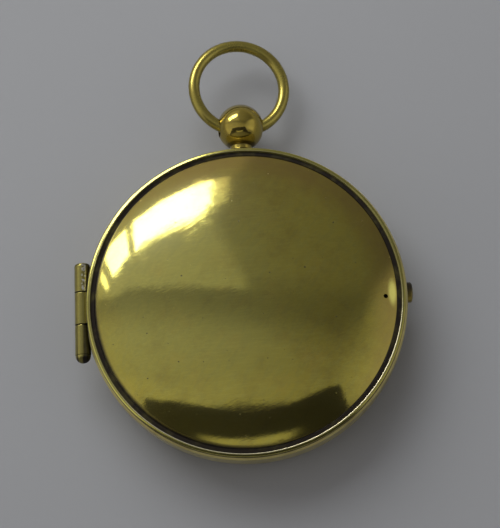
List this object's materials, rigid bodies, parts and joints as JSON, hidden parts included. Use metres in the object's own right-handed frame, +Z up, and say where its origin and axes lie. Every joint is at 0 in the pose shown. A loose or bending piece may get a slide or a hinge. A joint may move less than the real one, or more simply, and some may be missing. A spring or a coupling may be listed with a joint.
{
  "type": "pocket compass",
  "caption": "Round brass pocket compass in a hunter case: domed hinged lid, ball pendant with wire bow, push catch, and a needle that the closing lid lifts off its pivot.",
  "frame": {"origin": "on the case's axis, on the flat of its base", "axes": "+Z up out of the dial, +Y towards the pendant, -X towards the hinge, +X towards the catch; lid shut"},
  "size_m": [0.0465, 0.0614, 0.0121],
  "materials": {
    "lid_brass": "polished, worn, lightly tarnished",
    "case_brass": "satin, aged",
    "hinge_brass": "satin, aged, traces of solder",
    "bow_brass": "polished, worn",
    "bezel_brass": "polished",
    "inner_brass": "matt",
    "dial_card": "matt printed card",
    "clear_glass": "clear, polished",
    "pin_steel": "turned, dulled",
    "screw_steel": "slotted head, polished",
    "spring_steel": "tempered",
    "needle_steel": "blued",
    "agate": "polished stone"
  },
  "bodies": {
    "case": {"case_body": "case_brass", "case_hinge_knuckle_north": "hinge_brass", "case_hinge_knuckle_south": "hinge_brass", "hinge_pin": "hinge_brass", "pendant": "bow_brass", "dial_plate": "inner_brass", "dial_card": "dial_card", "dial_screw_northeast": "screw_steel", "dial_screw_southwest": "screw_steel", "spacer_ring": "inner_brass", "glass": "clear_glass", "glass_bezel": "bezel_brass", "pivot_post": "pin_steel", "lever_bracket": "inner_brass", "lever_axle": "pin_steel", "catch_spring_screw": "screw_steel", "lock_spring": "spring_steel"},
    "lid": {"lid_shell": "lid_brass", "lid_rim": "lid_brass", "lid_hinge_knuckle": "hinge_brass"},
    "bow": {"bow_ring": "bow_brass"},
    "catch_button": {"catch_button": "case_brass"},
    "catch_spring": {"catch_spring": "spring_steel"},
    "lock_pin": {"lock_pin": "pin_steel"},
    "lift_lever": {"lift_lever": "inner_brass"},
    "lift_collar": {"lift_collar": "inner_brass"},
    "needle": {"needle": "needle_steel", "needle_cap": "bezel_brass", "needle_jewel": "agate", "needle_weight": "bezel_brass"}
  },
  "joints": [
    {"name": "lid_hinge", "type": "hinge", "parent": "case", "child": "lid", "pos_m": [-0.0225, 0, 0.00685], "axis": [0, -1, 0], "range_deg": [0, 180]},
    {"name": "bow_swing", "type": "hinge", "parent": "case", "child": "bow", "pos_m": [0, 0.02599, 0.00475], "axis": [0.982, 0, -0.1891], "range_deg": [-138, 128]},
    {"name": "catch_press", "type": "slide", "parent": "case", "child": "catch_button", "axis": [-1, 0, 0], "range_m": [0, 0.0006], "stiffness_N_per_m": 1000},
    {"name": "catch_bend", "type": "hinge", "parent": "case", "child": "catch_spring", "pos_m": [0.01774, -0.00846, 0.0045], "axis": [0, 0, 1], "range_deg": [0, 3.9]},
    {"name": "lock_rise", "type": "slide", "parent": "case", "child": "lock_pin", "axis": [0, 0, 1], "range_m": [0, 0.00081], "deforming": ["lock_spring"]},
    {"name": "lever_tilt", "type": "hinge", "parent": "case", "child": "lift_lever", "pos_m": [0.00513, -0.00513, 0.00185], "axis": [-0.7071, -0.7071, 0], "range_deg": [0, 4]},
    {"name": "collar_drop", "type": "slide", "parent": "case", "child": "lift_collar", "axis": [0, 0, -1], "range_m": [0, 0.00051]},
    {"name": "needle_spin", "type": "hinge", "parent": "lift_collar", "child": "needle", "pos_m": [0, 0, 0.0055], "axis": [0, 0, 1], "continuous": true}
  ],
  "couplings": [
    {"joint": "catch_bend", "follows": "catch_press", "rad_per_m": 110.38},
    {"joint": "lock_rise", "follows": "lid_hinge", "m_per_rad": 0.00025465},
    {"joint": "lever_tilt", "follows": "lid_hinge", "ratio": 0.021918},
    {"joint": "collar_drop", "follows": "lid_hinge", "m_per_rad": 0.00015915}
  ]
}
